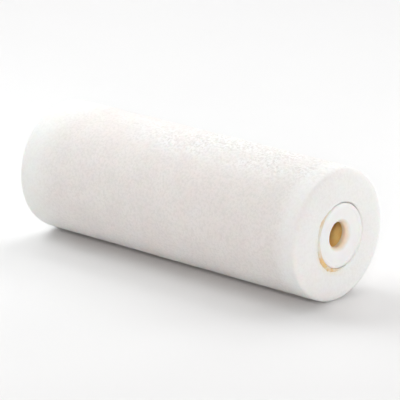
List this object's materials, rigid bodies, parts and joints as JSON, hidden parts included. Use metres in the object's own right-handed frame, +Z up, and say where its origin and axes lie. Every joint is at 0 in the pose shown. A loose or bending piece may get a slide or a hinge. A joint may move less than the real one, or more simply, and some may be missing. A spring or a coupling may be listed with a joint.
{
  "type": "mini paint roller refill",
  "caption": "White flocked foam sleeve with rounded shoulders on a paper core, with a flanged bush in each end that slides onto a roller frame's wire.",
  "frame": {"origin": "on the roller's axis, halfway along the sleeve, which is the centre of the bounding box", "axes": "+X along the axis towards the near bush, Z up with the roller lying on its side, Y across"},
  "size_m": [0.1002, 0.0358, 0.0358],
  "materials": {
    "pile": "matte",
    "foam": "matte",
    "kraft": "matte",
    "bush": "satin",
    "glue": "gloss"
  },
  "bodies": {
    "root": {"pile_cover": "pile", "foam_sleeve": "foam", "core_glue_line": "glue", "core_outer_ply": "kraft", "core_inner_ply": "kraft", "near_bush": "bush", "far_bush": "bush", "near_glue_bead": "glue", "far_glue_bead": "glue"}
  },
  "joints": []
}
